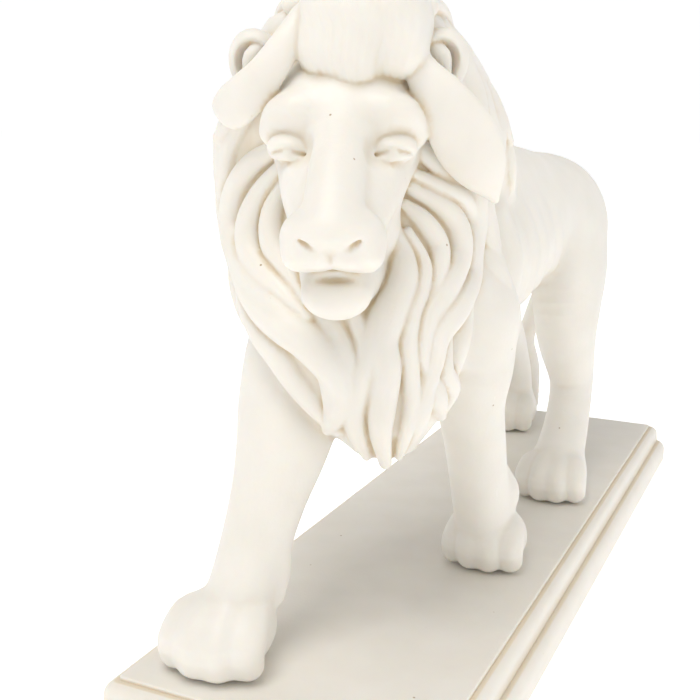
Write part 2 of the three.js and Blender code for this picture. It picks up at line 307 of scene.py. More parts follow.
# Trunk: chest, ribs, loin and rump from front to back, then the raised line of the shoulders and back.
clay.press_on(
    roll(
        [
            (0, -98, 97, 23, 29), (0, -74, 101, 28, 38), (0, -45, 107, 29, 43), (1, -15, 113, 28, 38),
            (3, 25, 118, 25.5, 33), (5, 60, 120, 24.5, 29), (6, 95, 115, 26, 31), (6, 125, 109, 22, 27),
            (6, 140, 106, 13, 17),
        ],
        step=3,
    ),
    4,
)
clay.press_on(
    roll(
        [
            (1, -36, 138, 21, 15), (3, -8, 140, 18, 14.5), (4, 16, 140.5, 16, 13.5),
            (5, 40, 139, 14, 11.5), (5, 64, 137, 11, 8),
        ],
        step=3,
    ),
    6,
)

# Fore legs, the right one swung forward and the left one back.
FORE_FORWARD = [
    (-15, -70, 124, 15, 19), (-20.5, -79, 107, 19.5, 20), (-23.6, -92, 90, 19, 19),
    (-23, -103, 74, 17.4, 17.2), (-21, -113, 62, 14.8, 15), (-20.7, -123, 48, 12, 12.4),
    (-22, -132.5, 30, 10.6, 11.6), (-24.5, -139, 14, 10.5, 12),
]
FORE_BACK = [
    (16, -60, 122, 12, 17), (22, -58, 104, 15.4, 16.5), (23, -56, 84, 14.6, 16), (22, -53, 66, 12, 13),
    (22.5, -48, 48, 11, 11.4), (23, -43, 30, 10.6, 11.6), (24, -38, 14, 11, 12.5),
]
for rows in (FORE_FORWARD, FORE_BACK):
    clay.press_on(roll(rows, step=2), 7)

# The pads behind the wrists, and the fold over the left elbow.
clay.press_on(
    roll([(-15, -126, 37, 2.5, 2.5), (-14.4, -129, 27, 4, 5), (-14, -131.5, 19, 3, 3)], step=2),
    2.5,
)
clay.press_on(roll([(29, -36, 36, 3, 3), (31, -35, 27, 4.5, 6), (30, -35, 19, 3, 3)], step=2), 2.5)
clay.press_on(ball((23, -58, 98), (16, 15.5, 15)), 4)
clay.cut_away(
    roll(
        [
            (9, -64, 82, 0.4, 0.4), (16, -72.5, 80.5, 1.2, 1.2), (25, -74.5, 79.5, 1.3, 1.3),
            (33.5, -69.5, 80, 1.1, 1.1), (38.8, -62, 82, 0.5, 0.5), (41, -54, 86, 0.2, 0.2),
        ],
        step=1.5,
    ),
    4,
)

# Hind legs, the left one forward and the right one pushed back.
HIND_FORWARD = [
    (14, 104, 112, 17, 28), (22, 84, 100, 16.4, 26), (25.5, 66, 83, 15, 20), (26.3, 66, 66, 12.8, 15),
    (27.5, 74, 45, 9.8, 12), (28.5, 65, 27, 9.8, 10.6), (29, 50, 13, 11, 12),
]
HIND_BACK = [
    (-4, 108, 112, 17, 27), (-12, 100, 98, 15.5, 24), (-18, 96, 80, 13.5, 18), (-19, 108, 62, 11, 14),
    (-19, 126, 45, 9.2, 12.5), (-19, 136, 28, 9.8, 10.5), (-19, 136, 13, 11, 11.5),
]
for rows in (HIND_FORWARD, HIND_BACK):
    clay.press_on(roll(rows, step=2.5), 9)

# Ribs and muscles that show through the skin of the flanks.
# Each rib: y of its middle, heights of its top and foot, half width.
RIBS = (
    (-19, 128, 104, 3.1), (-6, 131, 98, 3.4), (8, 127, 100, 3.2), (20, 129, 105, 2.8),
    (33, 124, 103, 2.4),
)
for side in (RIGHT, LEFT):
    for y, top, foot, girth in RIBS:
        clay.press_on(
            roll(
                [
                    (side * 19.4 + 2, y - 5, top, girth * 0.4, girth * 0.4),
                    (side * 22.6 + 2, y - 1, 119, girth, girth),
                    (side * 22.6 + 2, y + 4, 111, girth, girth),
                    (side * 21 + 2, y + 9, foot, girth * 0.4, girth * 0.4),
                ],
                step=3,
            ),
            7.5,
        )
    clay.press_on(
        roll(
            [
                (side * 21 + 2, -38, 132, 5, 5), (side * 25 + 2, -34, 114, 6, 6),
                (side * 24 + 1, -36, 98, 4, 4),
            ],
            step=3,
        ),
        7,
    )

# Paws, each with four knuckled toes parted by shallow grooves.
# Each paw: x, y, degrees turned to the left, size, and how softly its toes run together.
PAWS = ((-26, -143.5, 7, 1.1, 3.6), (25, -37, 0, 1, 2.2), (29.5, 41, 3, 1, 2.2), (-19, 131, -3, 1, 2.2))
TOES = 4
TOE_SPREAD = 10.6
for x, y, turn, size, softness in PAWS:
    paw = Seat((x, y, 0), turn)
    clay.press_on(ball((0, 3, 8 * size), (13.5 * size, 17 * size, 11.5 * size), seat=paw), 5)
    for i in range(TOES):
        spread = (i - 1.5) / 1.5
        toe_x = TOE_SPREAD * spread
        front = -12.5 + 3.6 * spread * spread
        toe = [
            (toe_x * 0.7, 3, 13, 4.6, 5), (toe_x * 0.92, front + 7, 13.4, 4.9, 5.4),
            (toe_x, front + 1.4, 9, 5.1, 5.4), (toe_x * 1.02, front + 1.4, 4.6, 4.8, 4.4),
        ]
        clay.press_on(roll([[size * value for value in row] for row in toe], seat=paw, step=2), softness)

# Tail: from the rump down behind the right hind leg to its tuft.
clay.press_on(
    roll(
        [
            (5, 141, 121, 6.5, 6.5), (1, 153, 108, 5, 5), (-6, 158, 86, 4.2, 4.2),
            (-13, 154, 62, 4.2, 4.2), (-17, 148, 42, 4.8, 4.8),
        ],
    ),
    3,
)
clay.press_on(
    roll([(-17, 148, 44, 5, 5), (-17, 151, 30, 8, 7.5), (-16, 154, 17, 7, 6.5), (-13, 156, 7, 3.5, 3.5)]),
    2,
)

# Ruff: the mass under the mane, in level slices from the crown to the beard, in the head's axes:
# height, x, y, half width, half depth.
RUFF = np.array(
    [
        (44, 2, 38, 12, 12), (38, 1, 38, 27, 21), (24, 0, 40, 36, 24), (5, 0, 43, 40, 25),
        (-15, 0, 44, 40.5, 27), (-33, -0.5, 41, 38.5, 31), (-47, 1, 37, 36, 38), (-60, 3, 34, 34, 39),
        (-74, 6, 29, 28, 33), (-85, 10, 23, 20.5, 26), (-95, 12, 20, 11, 15),
    ],
    float,
)


def ruff_slice(height):
    """The middle x, y and the half width and depth of the ruff at a height."""
    return [np.interp(-height, -RUFF[:, 0], RUFF[:, column]) for column in (1, 2, 3, 4)]


def on_ruff(bearing, height, lift=0.0):
    """A point of the ruff, degrees round from the front towards the lion's left, and the way out there."""
    x, y, half_width, half_depth = ruff_slice(height)
    angle = math.radians(bearing)
    out = np.array([math.sin(angle) / half_width, -math.cos(angle) / half_depth, 0])
    out /= np.linalg.norm(out)
    point = np.array([x + half_width * math.sin(angle), y - half_depth * math.cos(angle), height])
    return point + lift * out, out


RUFF_BOX = ((-60, -160, 50), (60, -20, 209))


def ruff_shape(target, blend):
    """The ruff as a shape to be pressed on, closed flat at its top and bottom slice."""
    spans, x, y, z = target.window(*RUFF_BOX)
    dx, dy = x - head.place[0], y - head.place[1]
    hx = dx * head.axes[0][0] + dy * head.axes[0][1]
    hy = dx * head.axes[1][0] + dy * head.axes[1][1]
    hz = (z - head.place[2]).astype(np.float32)
    cx, cy, half_width, half_depth = (value[None, None, :] for value in ruff_slice(hz.ravel()))
    u, v = (hx - cx) / half_width, (hy - cy) / half_depth
    far = np.sqrt(u * u + v * v)
    slope = np.sqrt((u / half_width) ** 2 + (v / half_depth) ** 2) + 1e-6
    side = far * (far - 1) / slope
    cap = np.maximum(hz - RUFF[0, 0], RUFF[-1, 0] - hz)
    return spans, np.maximum(side, cap).astype(np.float32)


clay.press_on(ruff_shape, 5)

# Crown: the skull's hair behind the forelock.
clay.press_on(ball((2, 37, 33), (24, 22, 16.5), seat=head), 5)

# Withers: the mane's tail end, lying back over the shoulders.
clay.press_on(
    roll([(-6, -58, 170, 30, 20), (-2, -44, 154, 31, 18), (1, -28, 142, 27, 14), (1, -12, 137, 18, 8)]),
    6,
)

# Head: the skull, cheeks, nose bridge, muzzle and jaw, worked apart from the ruff and then set into it.
face = Clay(*clay.axes)
face.press_on(ball((0, 26, 6), (24.5, 25, 25), seat=head), 1)
face.press_on(roll([(0, 18, -4, 21, 18), (0, 4, -12, 18, 14.5), (0, -10, -20, 13.5, 10.5)], seat=head), 4)
face.press_on(ball((0, 14, 7), (22.5, 15.5, 15.5), seat=head), 5)
face.press_on(ball((0, 13, -24), (17, 16, 16), seat=head), 5)
for side in (RIGHT, LEFT):
    face.press_on(
        roll(
            [
                (side * 8, 3.5, 9.5, 3.6, 3.6), (side * 13.5, 2.2, 10.5, 4.2, 4),
                (side * 19, 5.4, 9, 3.6, 3.6), (side * 22, 11, 4, 2.6, 2.6),
            ],
            seat=head,
            step=2,
        ),
        6,
    )
face.press_on(
    roll(
        [(0, 8, 11, 9.5, 7.5), (0, -3, 1, 7.8, 7.5), (0, -14, -8.5, 7.8, 8), (0, -24, -17.5, 8.6, 7)],
        seat=head,
    ),
    3.5,
)
for side in (RIGHT, LEFT):
    face.press_on(ball((side * 6.6, -20, -24), (7.9, 12, 8.4), turn=(-14, 0, side * 8), seat=head), 2.5)
    face.press_on(
        ball((side * 8.6, -22.5, -28.4), (4.8, 8.6, 4.2), turn=(-10, 0, side * 10), seat=head),
        2.5,
    )
    face.press_on(ball((side * 3.2, -23.5, -28.4), (3.8, 7.2, 4), turn=(-10, 0, side * 6), seat=head), 3)
face.press_on(ball((0, -28.6, -20.8), (8.2, 5.6, 5), turn=(-20, 0, 0), seat=head), 3)
face.press_on(roll([(0, 12, -36, 14, 12), (0, -6, -38, 11, 9.4), (0, -14, -40, 10, 7.4)], seat=head), 2.5)
face.cut_away(ball((0, -25, -33.6), (11.6, 9, 2.2), turn=(-14, 0, 0), seat=head), 1.4)
for side in (RIGHT, LEFT):
    face.cut_away(
        roll(
            [
                (side * 2, -34.4, -26.8, 0.6, 1.4), (side * 4.2, -34, -26.2, 1.3, 2.3),
                (side * 6.2, -32.6, -24.8, 1.1, 2), (side * 7.6, -31, -22.8, 0.5, 1.2),
            ],
            across=(0, 0, 1),
            seat=head,
            step=1,
        ),
        0.8,
    )
face.cut_away(roll([(0, -35, -27.6, 0.3, 0.6), (0, -33.4, -32.5, 0.4, 0.8)], seat=head, step=1), 1)

# Eyes: a heavy lid over the ball in its socket, a narrow opening and the lower lid under it.
for side in (RIGHT, LEFT):
    face.cut_away(ball((side * 14.3, -6, -0.2), (6.9, 7, 5.8), turn=(0, 0, side * -14), seat=head), 1.8)
    face.press_on(ball((side * 15, 4.9, -0.3), (7, 6.6, 4.5), turn=(0, 0, side * 16), seat=head), 1)
    face.cut_away(
        roll(
            [
                (side * 9.4, 0.4, -2.4, 0.4, 0.5), (side * 12, -1.1, -1.5, 0.8, 0.9),
                (side * 15, -1.7, -1, 1.0, 1.0), (side * 18, -0.7, -1.2, 0.8, 0.9),
                (side * 21.5, 2.4, -2.2, 0.4, 0.5),
            ],
            across=(0, 0, 1),
            seat=head,
            step=1,
        ),
        0.8,
    )
    face.press_on(ball((side * 15, 0.6, -1.3), (2, 1.9, 1.5), seat=head), 0.5)
    face.press_on(
        roll(
            [
                (side * 10, 0.6, -3.4, 0.4, 0.4), (side * 12.8, -0.4, -3.2, 0.6, 0.6),
                (side * 16, -0.4, -3.2, 0.7, 0.6), (side * 20, 1.8, -2.8, 0.5, 0.5),
            ],
            seat=head,
            step=1.2,
        ),
        1,
    )
clay.press_on(face.as_shape((-60, -163, 90), (60, -30, 209)), 1.2)

# The fold where the hair starts, round each cheek.
for side in (RIGHT, LEFT):
    clay.cut_away(
        roll(
            [
                (side * 25, 17, 4, 1, 1.5), (side * 23, 14, -8, 1.6, 2.6), (side * 21, 12, -20, 1.8, 3),
                (side * 18.5, 9, -31, 1.8, 3), (side * 15, 4, -42, 1.6, 2.6),
                (side * 9, -1, -50, 1, 1.5),
            ],
            seat=head,
            step=2,
        ),
        2,
    )

# Ears: a cupped rim with a tuft inside.
for side in (RIGHT, LEFT):
    ear = (side * 27.5, 24, 24)
    lean = (10, side * 18, side * 18)
    clay.press_on(ball(ear, (9, 6.5, 10.5), turn=lean, seat=head), 1.5)
    clay.cut_away(
        ball((ear[0] + side * 0.8, ear[1] - 7, ear[2] - 0.6), (6.4, 7.6, 7.6), turn=lean, seat=head),
        0.8,
    )
    clay.press_on(
        roll(
            [
                (ear[0] - side * 3, 22, 30, 2, 2), (ear[0] + side * 1, 20, 26, 2.6, 2),
                (ear[0] + side * 2.5, 20, 21, 1.4, 1.4),
            ],
            seat=head,
            step=2,
        ),
        0.8,
    )

# Forelock: a smooth roll standing up from the brow in two lobes and combed back over the crown.
tuft = Clay(*clay.axes)
tuft.press_on(ball((5.5, 18, 35.2), (20.5, 19, 16.6), seat=head), 1)
tuft.press_on(ball((-4, 10.4, 28), (10, 10, 9.4), seat=head), 4)
tuft.press_on(ball((3.4, 9, 24.8), (8.6, 10, 10), seat=head), 3.5)
tuft.press_on(ball((16, 10.8, 27.6), (8.6, 10, 9), seat=head), 3.5)


COMB_BOX = ((-40, -150, 165), (50, -60, 209))
COMB_ROOT = (5, 30)
COMB_REACH = 42
COMB_SPACING = 1.9
COMB_DEPTH = 0.08


def combed(lump):
    """Fine comb lines over the tuft that fan up and back from a root at x and height in the head's axes."""
    spans, x, y, z = lump.window(*COMB_BOX)
    dx, dy, dz = x - head.place[0], y - head.place[1], z - head.place[2]
    hx = dx * head.axes[0][0] + dy * head.axes[0][1]
    hy = dx * head.axes[1][0] + dy * head.axes[1][1]
    bearing = np.arctan2(hx - COMB_ROOT[0], COMB_ROOT[1] - (hy * 0.35 - dz))
    fan = bearing * COMB_REACH + 0.5 * np.sin(dz * 0.35)
    fine = 2 * math.pi / COMB_SPACING
    comb = np.sin(fan * fine) + 0.6 * np.sin(fan * fine * 0.43 + 1)
    lump.field[spans] += (COMB_DEPTH * comb).astype(np.float32)


combed(tuft)
clay.press_on(tuft.as_shape((-40, -163, 160), (50, -50, 209)), 0.8)


WIDEST_SINE = 0.985
LOCK_FLATNESS = 0.8


def lock(points, width, lift, blend):
    """A lock laid on the front of the ruff through points (x, height) in the head's axes."""
    rows = []
    outs = []
    count = len(points)
    for i, (px, height) in enumerate(points):
        x, _, half_width, _ = ruff_slice(height)
        sine = (px - x) / (half_width + 2.5)
        bearing = math.degrees(math.asin(max(-WIDEST_SINE, min(WIDEST_SINE, sine))))
        taper = math.sin(math.pi * (0.16 + 0.74 * i / (count - 1)))
        point, out = on_ruff(bearing, height, lift)
        rows.append((*point, width * taper + 0.4, width * taper * LOCK_FLATNESS + 1.0))
        outs.append(out)
    rows = np.array(rows)
    along = np.gradient(rows[:, :3], axis=0)
    across = np.cross(np.array(outs), along)
    clay.press_on(roll(rows, across=across, step=2.2, seat=head), blend)


# The front locks in the order they are laid: half width, lift, blend, points from the root to the tip.
RIGHT_LOCKS = [
    (4.4, 1.0, 0.8, [(-30, 16), (-38, 8), (-42.5, -1), (-44, -12), (-43.5, -24), (-41, -34)]),
    (5.0, 0.0, 0.6, [(-34, 8), (-41, -3), (-43.5, -16), (-43, -28), (-39, -38), (-36, -50)]),
    (4.6, 0.0, 0.6, [(-38, -34), (-39, -44), (-37, -54), (-34, -62)]),
    (4.6, 0.0, 1.2, [
        (-36, -40), (-34, -50), (-28, -57), (-21.5, -62), (-17, -68), (-12, -74), (-7, -80), (-2, -85),
    ]),
    (5.6, 0.8, 1.2, [
        (-38, -34), (-33, -43), (-26, -49), (-18, -53), (-11, -56), (-4.5, -61), (0, -67), (1, -74),
        (-2, -80), (-5, -85),
    ]),
    (4.6, 0.6, 0.6, [
        (-20, 0), (-31, -6), (-38, -15), (-40, -26), (-36.5, -35), (-29, -42.5), (-20, -48),
        (-11, -53), (-4, -58),
    ]),
    (4.2, 0.8, 0.6, [
        (-20, -6), (-28, -15), (-32.5, -25), (-31, -34), (-24.5, -40), (-17, -44.5), (-10, -50),
    ]),
    (3.6, 0.8, 0.6, [(-20, -12), (-24, -21), (-23.5, -30), (-18, -37), (-11, -45)]),
    (2.8, 0.4, 1.0, [(-8, -62), (-4, -67), (-3, -75), (-5, -82)]),
]
CHIN_LOCKS = [
    (4.4, -0.8, 1.0, [(-8, -46), (-3, -53), (1, -60), (4, -68), (3, -78), (2, -88)]),
    (3.8, 0.2, 1.0, [(3, -46), (7, -54), (8.5, -61), (6, -69), (4, -77), (5, -86), (7, -94)]),
    (4.4, -0.6, 1.2, [(27, -62), (26, -72), (24, -82), (21, -92)]),
    (5.4, 0.6, 1.0, [
        (14, -24), (18, -33), (18.5, -40), (15, -48), (12, -56), (13.5, -64), (13, -74), (12.5, -84),
        (13.5, -96),
    ]),
    (2.8, 0.8, 0.8, [
        (20, -26), (25, -35), (24.5, -42), (21.5, -49), (20.5, -57), (21.5, -66), (22, -76),
        (20, -86), (18, -94),
    ]),
]
LEFT_LOCKS = [
    (4.6, 0.0, 1.0, [(40, -42), (38, -52), (37, -62), (36, -72)]),
    (4.0, 0.0, 1.0, [(33, -58), (32, -68), (35, -76), (38, -83)]),
    (4.0, 0.0, 1.0, [(27, -66), (30, -76), (33, -85)]),
    (5.2, 0.8, 0.6, [
        (22, 0), (31, -7), (40, -14), (45.5, -25), (46, -35), (42.5, -43), (35, -50), (29.5, -56),
        (28, -64), (26, -72), (22, -80),
    ]),
    (3.2, 0.8, 0.6, [(22, -9), (30, -13), (36, -16), (40, -22), (40, -30)]),
    (4.2, 0.6, 0.6, [
        (21, -13), (31, -19), (36, -26), (36.5, -35), (32, -44), (27, -51), (25, -60), (26, -68),
    ]),
    (3.2, 0.6, 0.6, [(19, -18), (25, -23), (30, -31), (29.5, -40), (26, -48)]),
]
for width, lift, blend, points in RIGHT_LOCKS + CHIN_LOCKS + LEFT_LOCKS:
    lock(points, width, lift, blend)

# The broad flat locks over the temples: a strap under the right ear, a leaf behind the left eye.
clay.press_on(
    roll(
        [
            (-12.5, 13, 37, 3.4, 3), (-16.5, 8.5, 29, 4.6, 3.2), (-22.5, 8, 20.5, 5.6, 3),
            (-29, 11, 14.5, 6.6, 2.8), (-34.5, 17, 11, 6.8, 2.5), (-39, 23.5, 10, 4.8, 2),
            (-42.5, 30, 11.5, 0.9, 0.9),
        ],
        across=[
            (0.95, -0.1, -0.3), (0.9, -0.1, -0.4), (0.7, 0, -0.7), (0.5, 0, -0.85), (0.4, 0, -0.9),
            (0.4, 0, -0.9), (0.4, 0, -0.9),
        ],
        seat=head,
        step=2,
    ),
    1.2,
)
clay.press_on(
    roll(
        [
            (20, 13, 27, 3.4, 3), (23.5, 9.5, 20, 5.4, 3.4), (29.5, 11, 12, 8, 3.8),
            (36, 17, 1.5, 10, 3.8), (41.5, 23, -7.5, 8, 3.2), (46, 30, -17, 1.4, 1.4),
        ],
        across=(0.75, 0, 0.65),
        seat=head,
        step=2.5,
    ),
    1.2,
)

# Sides and back of the mane: rows of S-shaped locks laid from the crown down, each over the one below.
# They hang round a leaning line inside the neck.
MANE_AXIS_TOP = np.array([-9.0, -72.0, 200.0])
MANE_AXIS_LEAN = np.array([0.08, 0.24])
MANE_LOCK_SPACING = 16
MANE_LOCK_WIDTH = 6.2
MANE_LOCK_DEPTH = 3.1
MANE_WAVE = 5
MANE_SWEEP = 6
BESIDE_RIGHT_CHEEK = 298
# Each row: height of the roots, length, and the bearings of its first and last lock.
MANE_ROWS = (
    (126, 26, 284, 314), (140, 30, 62, 82), (141, 32, 278, 314), (158, 36, 62, 94), (158, 36, 266, 312),
    (178, 38, 70, 306), (193, 36, 82, 290), (201, 24, 90, 266),
)


def settled(bearing, height):
    """Where a level line drawn inwards meets the clay, degrees round from the front towards the left."""
    angle = math.radians(bearing)
    out = np.array([math.sin(angle), -math.cos(angle), 0])
    drop = MANE_AXIS_TOP[2] - height
    axis = np.array([*(MANE_AXIS_TOP[:2] + MANE_AXIS_LEAN * drop), height])
    for far in np.arange(75, 5, -0.5):
        if clay.near(axis + far * out) < 0:
            return axis + far * out, out
    return axis + 5 * out, out


for row, (top, length, least, most) in enumerate(MANE_ROWS):
    count = int(round((most - least) / MANE_LOCK_SPACING))
    for i in range(count + 1):
        bearing = least + (most - least) * (i + 0.5 * (row % 2)) / count
        if bearing > most:
            continue
        side = LEFT if bearing < 180 else RIGHT
        sunk = 2 if bearing > BESIDE_RIGHT_CHEEK else 1
        rows = []
        outs = []
        for t in np.linspace(0, 1, 6):
            wave = MANE_WAVE * math.sin(2 * math.pi * t) + MANE_SWEEP * t
            point, out = settled(bearing + side * wave, top - length * t)
            swell = math.sin(math.pi * (0.18 + 0.74 * t))
            place = point + out * (0.8 * t - sunk)
            rows.append((*place, MANE_LOCK_WIDTH * swell + 0.4, MANE_LOCK_DEPTH * swell + 0.6))
            outs.append(out)
        path = np.array(rows)
        path[1:-1, :3] = 0.5 * path[1:-1, :3] + 0.25 * (path[:-2, :3] + path[2:, :3])
        across = np.cross(np.array(outs), np.gradient(path[:, :3], axis=0))
        clay.press_on(roll(path, across=across, step=3), 0.8)

# The forelock's ends, combed back over the crown and down onto the neck: x of the root, x of the tip, drop.
CROWN_LOCKS = ((-15, -22, 4), (-8, -11, 2), (0, -2, 0), (8, 8, 0.5), (16, 18, 2), (23, 27, 5))
for start, end, drop in CROWN_LOCKS:
    clay.press_on(
        roll(
            [
                (start, 20, 44.5 - drop, 4.2, 3.2),
                (start * 0.97, 32, 46.6 - drop, 5.6, 3.4),
                (0.4 * start + 0.6 * end, 45, 44 - drop, 5.8, 3.4),
                (end * 1.05, 56, 36 - drop, 4.6, 3),
                (end * 1.15, 64, 26 - drop, 1, 1),
            ],
            seat=head,
            step=2.5,
        ),
        0.9,
    )

# The paws stand flat.
floor_spans, _, _, floor_z = clay.window((-60, -163, -2), (60, 167, 4))
clay.field[floor_spans] = np.maximum(clay.field[floor_spans], -floor_z)


def skin(lump):
    """The surface of the clay: a vertex in each grid cell it crosses, a quad across each crossed edge."""
    field = lump.field
    inside = field < 0
    count = np.zeros([n - 1 for n in field.shape], np.int8)
    corners = [(i, j, k) for i in (0, 1) for j in (0, 1) for k in (0, 1)]
    for i, j, k in corners:
        count += inside[i : i + count.shape[0], j : j + count.shape[1], k : k + count.shape[2]]
    cells = np.argwhere((count > 0) & (count < 8))
    values = np.stack([field[tuple((cells + corner).T)] for corner in corners], 1)
    total = np.zeros((len(cells), 3))
    crossings = np.zeros(len(cells))
    for a, first in enumerate(corners):
        for b, second in enumerate(corners):
            if b <= a or sum(abs(p - q) for p, q in zip(first, second)) != 1:
                continue
            crossed = (values[:, a] < 0) != (values[:, b] < 0)
            share = values[crossed, a] / (values[crossed, a] - values[crossed, b])
            step = np.subtract(second, first)
            total[crossed] += np.array(first) + share[:, None] * step
            crossings[crossed] += 1
    inner = total / crossings[:, None]
    points = np.empty((len(cells), 3))
    for axis in range(3):
        lines = lump.axes[axis]
        low = cells[:, axis]
        points[:, axis] = lines[low] + (lines[low + 1] - lines[low]) * inner[:, axis]
    shape = count.shape
    number = np.full(shape, -1, np.int32)
    number[tuple(cells.T)] = np.arange(len(cells))
    quads = []
    for axis in range(3):
        u, v = (axis + 1) % 3, (axis + 2) % 3
        near = [slice(None)] * 3
        far = [slice(None)] * 3
        near[axis], far[axis] = slice(0, -1), slice(1, None)
        starts, ends = inside[tuple(near)], inside[tuple(far)]
        edges = np.argwhere(starts != ends)
        keep = (edges[:, u] > 0) & (edges[:, v] > 0) & (edges[:, u] < shape[u]) & (edges[:, v] < shape[v])
        edges = edges[keep]
        ring = []
        for du, dv in ((1, 1), (0, 1), (0, 0), (1, 0)):
            corner = edges.copy()
            corner[:, u] -= du
            corner[:, v] -= dv
            ring.append(number[tuple(corner.T)])
        faces = np.stack(ring, 1)
        outward = starts[tuple(edges.T)]
        faces[~outward] = faces[~outward][:, ::-1]
        quads.append(faces)
    return points, np.concatenate(quads)


points, quads = skin(clay)
lion_mesh = bpy.data.meshes.new("lion_casting")
lion_mesh.vertices.add(len(points))
lion_mesh.vertices.foreach_set("co", ((points + (0, 0, LION_FLOOR / MM)) * MM).astype(np.float32).ravel())
lion_mesh.loops.add(quads.size)
lion_mesh.loops.foreach_set("vertex_index", quads.ravel().astype(np.int32))
lion_mesh.polygons.add(len(quads))
lion_mesh.polygons.foreach_set("loop_start", np.arange(0, quads.size, 4, dtype=np.int32))
lion_mesh.update(calc_edges=True)
lion_mesh.validate()
lion = bpy.data.objects.new("lion_casting", lion_mesh)
bpy.context.collection.objects.link(lion)
thin = lion.modifiers.new("thin", "DECIMATE")
thin.ratio = LION_TRIANGLES / (2 * len(quads))
bpy.context.view_layer.objects.active = lion
bpy.ops.object.modifier_apply(modifier="thin")
lion.data.polygons.foreach_set("use_smooth", [True] * len(lion.data.polygons))


# Painted shade: the colour is darkened where the surface bends inward, standing in for the shade that falls
# in creases.
SHARPEST_BEND = 900
DEEP_BEND = 700


def mark_painted_crease_shade(piece, rounds):
    """Stores painted crease shade at each vertex, from how sharply the surface bends inward, evened out:
    0.5 is flat, 1 is a deep crease.
    """
    mesh = piece.data
    count = len(mesh.vertices)
    place = np.empty(count * 3, np.float32)
    mesh.vertices.foreach_get("co", place)
    place = place.reshape(-1, 3)
    facing = np.empty(count * 3, np.float32)
    mesh.vertices.foreach_get("normal", facing)
    facing = facing.reshape(-1, 3)
    edges = np.empty(len(mesh.edges) * 2, np.int32)
    mesh.edges.foreach_get("vertices", edges)
    a, b = edges.reshape(-1, 2).T
    degree = np.bincount(a, minlength=count) + np.bincount(b, minlength=count)
    step = place[b] - place[a]
    far = np.maximum((step * step).sum(1), 1e-12)
    bend_a = (step * facing[a]).sum(1) / far
    bend_b = -(step * facing[b]).sum(1) / far
    bend = (np.bincount(a, bend_a, count) + np.bincount(b, bend_b, count)) / degree
    bend = np.clip(bend, -SHARPEST_BEND, SHARPEST_BEND)
    for _ in range(rounds):
        nearby = np.bincount(a, bend[b], count) + np.bincount(b, bend[a], count)
        bend = 0.5 * bend + 0.5 * nearby / degree
    shade_in_creases = np.clip(0.5 + bend / DEEP_BEND, 0, 1)
    layer = mesh.attributes.new("shade_in_creases", "FLOAT", "POINT")
    layer.data.foreach_set("value", shade_in_creases.astype(np.float32))


mark_painted_crease_shade(lion, 6)


# The warm darker cream is painted shade, laid into the creases.
CREASE_SHADE_CREAM = (0.72, 0.61, 0.44, 1)
PIT_BROWN = (0.42, 0.32, 0.2, 1)


